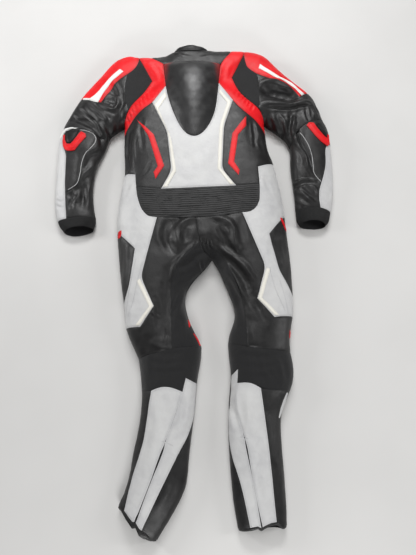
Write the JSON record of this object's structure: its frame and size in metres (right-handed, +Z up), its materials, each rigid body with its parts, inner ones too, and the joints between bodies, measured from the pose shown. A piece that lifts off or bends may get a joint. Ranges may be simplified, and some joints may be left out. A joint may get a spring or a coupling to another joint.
{
  "type": "motorcycle race suit",
  "caption": "Leather motorcycle race suit laid front down, with a back hump, stretch inserts, knit cuffs and calf zips; neck, cuffs and hems are open.",
  "frame": {"origin": "centre of the laid suit's outline box, on the surface it lies on", "axes": "+Y from the hems towards the collar, +X towards the wearer's right arm, +Z up from the surface through the suit's front to its back"},
  "size_m": [0.9554, 1.6418, 0.1387],
  "materials": {
    "black_leather": "matte black drum-dyed cowhide, softly creased",
    "black_gloss": "coated black leather and elbow slider plates, satin to gloss",
    "silver_leather": "light pearl grey leather, satin",
    "red_leather": "saturated red leather, satin",
    "black_stretch": "matte woven aramid stretch fabric",
    "black_rib": "ribbed accordion stretch leather",
    "zip_tape": "black woven zip tape",
    "black_knit": "ribbed elastic knit",
    "cream_leather": "off-white leather, satin",
    "white_leather": "white leather, satin"
  },
  "bodies": {
    "root": {"collar": "black_leather", "yoke_back": "black_leather", "hump": "black_gloss", "back_centre": "silver_leather", "yoke_red_left": "red_leather", "yoke_red_right": "red_leather", "shoulder_stretch_left": "black_stretch", "shoulder_stretch_right": "black_stretch", "side_back_left": "black_leather", "side_back_right": "black_leather", "lumbar": "black_rib", "hip_left": "silver_leather", "hip_right": "silver_leather", "seat_left": "black_leather", "seat_right": "black_leather", "inner_leg_left": "black_stretch", "inner_leg_right": "black_stretch", "thigh_outer_left": "black_leather", "thigh_outer_right": "black_leather", "knee_back_left": "black_stretch", "knee_back_right": "black_stretch", "calf_outer_left": "silver_leather", "calf_outer_right": "silver_leather", "calf_inner_left": "silver_leather", "calf_inner_right": "silver_leather", "zip_calf_left": "zip_tape", "zip_calf_right": "zip_tape", "hem_left": "black_leather", "hem_right": "black_leather", "sleeve_top_left": "red_leather", "sleeve_top_right": "red_leather", "sleeve_upper_left": "black_leather", "sleeve_upper_right": "black_leather", "forearm_silver_left": "silver_leather", "forearm_silver_right": "silver_leather", "forearm_back_left": "black_leather", "forearm_back_right": "black_leather", "cuff_left": "black_knit", "cuff_right": "black_knit", "front_left": "black_leather", "front_right": "black_leather", "zip_front": "zip_tape", "thigh_front_left": "black_leather", "shin_front_left": "black_leather", "thigh_front_right": "black_leather", "shin_front_right": "black_leather", "sleeve_front_left": "black_leather", "sleeve_front_right": "black_leather", "centre_bar_left": "cream_leather", "centre_bar_right": "cream_leather", "red_bolt_left": "red_leather", "red_bolt_right": "red_leather", "hip_bar_left": "cream_leather", "hip_bar_right": "cream_leather", "sleeve_stripe_left": "white_leather", "sleeve_stripe_right": "white_leather", "elbow_ring_left": "red_leather", "elbow_ring_right": "red_leather", "elbow_pad_left": "black_gloss", "elbow_pad_right": "black_gloss"}
  },
  "joints": []
}
